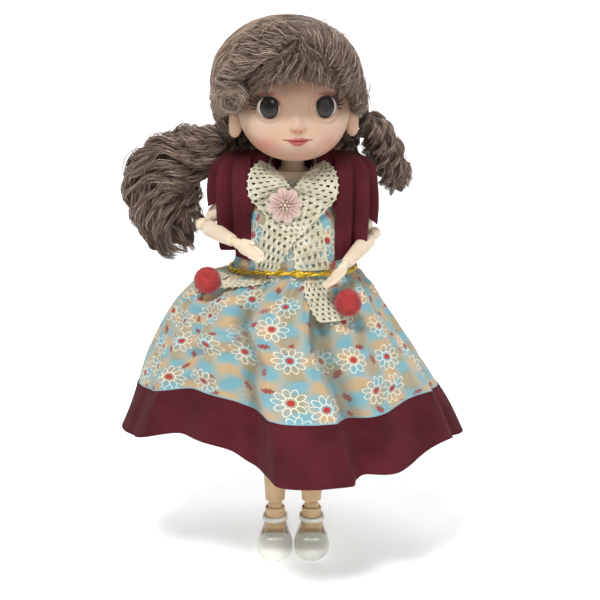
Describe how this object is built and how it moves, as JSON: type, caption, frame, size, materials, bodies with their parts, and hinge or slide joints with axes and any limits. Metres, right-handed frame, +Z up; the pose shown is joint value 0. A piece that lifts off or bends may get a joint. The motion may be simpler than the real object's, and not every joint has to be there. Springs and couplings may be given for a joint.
{
  "type": "fashion doll",
  "caption": "Ball-jointed dress-up doll with curly pigtails, a full printed skirt with a dark hem, shoulder flounces, crossed lace and ankle-strap shoes.",
  "frame": {"origin": "on the floor, under the middle of the doll's box", "axes": "+Z up, the doll faces -Y, its left side is at +X"},
  "size_m": [0.1908, 0.1638, 0.2998],
  "materials": {
    "face_plastic": "matte flesh tone with blushed cheeks and painted lips",
    "body_plastic": "matte pale flesh tone",
    "leg_plastic": "matte flesh tone, a little darker",
    "eye": "glossy, dark brown iris on white",
    "lash": "black",
    "bracket": "plain moulded",
    "hair": "frizzy brown fibre",
    "wig_net": "dark net",
    "hair_elastic": "dark elastic",
    "print_cotton": "printed cotton, pale blue and tan check with small daisies",
    "burgundy_cotton": "plain woven burgundy",
    "lace": "cream crochet",
    "flower": "pale pink with darker veins and small beads",
    "felt": "red felt",
    "gold_cord": "twisted metallic thread",
    "shoe": "satin white"
  },
  "bodies": {
    "torso": {"torso_front": "body_plastic", "torso_back": "body_plastic", "bodice": "print_cotton", "belt_cord": "gold_cord", "skirt": "print_cotton", "hem_band": "burgundy_cotton", "shawl_right": "lace", "shawl_left": "lace", "flower": "flower", "tail_right": "lace", "tail_left": "lace", "pompom_right": "felt", "pompom_left": "felt"},
    "neck": {"neck_post": "face_plastic"},
    "head": {"face_shell": "face_plastic", "skull_cap": "face_plastic", "eye_right": "eye", "eye_left": "eye", "lashes_right": "lash", "lashes_left": "lash", "eye_bracket": "bracket", "wig_cap": "wig_net", "crown_hair": "hair", "fringe": "hair", "pigtail_right": "hair", "pigtail_left": "hair", "hair_tie_right": "hair_elastic", "hair_tie_left": "hair_elastic"},
    "shoulder_right": {"shoulder_ball_right": "body_plastic"},
    "upper_arm_right": {"upper_arm_right": "body_plastic", "elbow_peg_right": "body_plastic", "flounce_right": "burgundy_cotton"},
    "forearm_right": {"forearm_right": "body_plastic", "wrist_peg_right": "body_plastic"},
    "hand_right": {"hand_right": "body_plastic"},
    "hip_right": {"hip_ball_right": "leg_plastic"},
    "thigh_right": {"thigh_right": "leg_plastic", "knee_peg_right": "leg_plastic"},
    "calf_right": {"calf_right": "leg_plastic", "ankle_peg_right": "leg_plastic"},
    "foot_right": {"foot_right": "leg_plastic", "shoe_right": "shoe", "shoe_strap_right": "shoe"},
    "shoulder_left": {"shoulder_ball_left": "body_plastic"},
    "upper_arm_left": {"upper_arm_left": "body_plastic", "elbow_peg_left": "body_plastic", "flounce_left": "burgundy_cotton"},
    "forearm_left": {"forearm_left": "body_plastic", "wrist_peg_left": "body_plastic"},
    "hand_left": {"hand_left": "body_plastic"},
    "hip_left": {"hip_ball_left": "leg_plastic"},
    "thigh_left": {"thigh_left": "leg_plastic", "knee_peg_left": "leg_plastic"},
    "calf_left": {"calf_left": "leg_plastic", "ankle_peg_left": "leg_plastic"},
    "foot_left": {"foot_left": "leg_plastic", "shoe_left": "shoe", "shoe_strap_left": "shoe"}
  },
  "joints": [
    {"name": "neck_turn", "type": "hinge", "parent": "torso", "child": "neck", "pos_m": [0.00084, -0.00079, 0.215], "axis": [0, 0, 1], "range_deg": [-40, 40]},
    {"name": "head_nod", "type": "hinge", "parent": "neck", "child": "head", "pos_m": [0.00084, -0.00079, 0.2285], "axis": [0.9969, 0.0785, 0], "range_deg": [-10, 8]},
    {"name": "shoulder_swing_right", "type": "hinge", "parent": "torso", "child": "shoulder_right", "pos_m": [-0.02116, -0.00229, 0.208], "axis": [1, 0, 0], "range_deg": [-60, 0], "deforming": ["flounce_right"]},
    {"name": "shoulder_raise_right", "type": "hinge", "parent": "shoulder_right", "child": "upper_arm_right", "pos_m": [-0.02116, -0.00229, 0.208], "axis": [0, -1, 0], "range_deg": [-50, 0], "deforming": ["flounce_right"]},
    {"name": "elbow_swing_right", "type": "hinge", "parent": "upper_arm_right", "child": "forearm_right", "pos_m": [-0.04863, -0.00123, 0.18476], "axis": [-0.1909, -0.1399, 0.9716], "range_deg": [-100, 0]},
    {"name": "wrist_turn_right", "type": "hinge", "parent": "forearm_right", "child": "hand_right", "pos_m": [-0.02966, -0.03168, 0.18176], "axis": [0.5269, -0.8458, -0.0832], "range_deg": [-60, 60]},
    {"name": "hip_swing_right", "type": "hinge", "parent": "torso", "child": "hip_right", "pos_m": [-0.00946, -0.00429, 0.135], "axis": [-1, 0, 0], "range_deg": [-30, 40]},
    {"name": "hip_splay_right", "type": "hinge", "parent": "hip_right", "child": "thigh_right", "pos_m": [-0.00946, -0.00429, 0.135], "axis": [0, 1, 0], "range_deg": [0, 25]},
    {"name": "knee_bend_right", "type": "hinge", "parent": "thigh_right", "child": "calf_right", "pos_m": [-0.00946, -0.00429, 0.072], "axis": [1, 0, 0], "range_deg": [0, 90]},
    {"name": "ankle_bend_right", "type": "hinge", "parent": "calf_right", "child": "foot_right", "pos_m": [-0.00946, -0.00429, 0.023], "axis": [1, 0, 0], "range_deg": [-20, 20]},
    {"name": "shoulder_swing_left", "type": "hinge", "parent": "torso", "child": "shoulder_left", "pos_m": [0.02284, -0.00229, 0.208], "axis": [-1, 0, 0], "range_deg": [0, 60], "deforming": ["flounce_left"]},
    {"name": "shoulder_raise_left", "type": "hinge", "parent": "shoulder_left", "child": "upper_arm_left", "pos_m": [0.02284, -0.00229, 0.208], "axis": [0, -1, 0], "range_deg": [0, 50], "deforming": ["flounce_left"]},
    {"name": "elbow_swing_left", "type": "hinge", "parent": "upper_arm_left", "child": "forearm_left", "pos_m": [0.04526, -0.0013, 0.17985], "axis": [-0.4099, -0.115, 0.9048], "range_deg": [0, 85]},
    {"name": "wrist_turn_left", "type": "hinge", "parent": "forearm_left", "child": "hand_left", "pos_m": [0.02851, -0.03133, 0.1692], "axis": [-0.4655, -0.8341, -0.296], "range_deg": [-60, 60]},
    {"name": "hip_swing_left", "type": "hinge", "parent": "torso", "child": "hip_left", "pos_m": [0.01114, -0.00429, 0.135], "axis": [-1, 0, 0], "range_deg": [-30, 40]},
    {"name": "hip_splay_left", "type": "hinge", "parent": "hip_left", "child": "thigh_left", "pos_m": [0.01114, -0.00429, 0.135], "axis": [0, -1, 0], "range_deg": [0, 25]},
    {"name": "knee_bend_left", "type": "hinge", "parent": "thigh_left", "child": "calf_left", "pos_m": [0.01114, -0.00429, 0.072], "axis": [1, 0, 0], "range_deg": [0, 90]},
    {"name": "ankle_bend_left", "type": "hinge", "parent": "calf_left", "child": "foot_left", "pos_m": [0.01114, -0.00429, 0.023], "axis": [1, 0, 0], "range_deg": [-20, 20]}
  ]
}
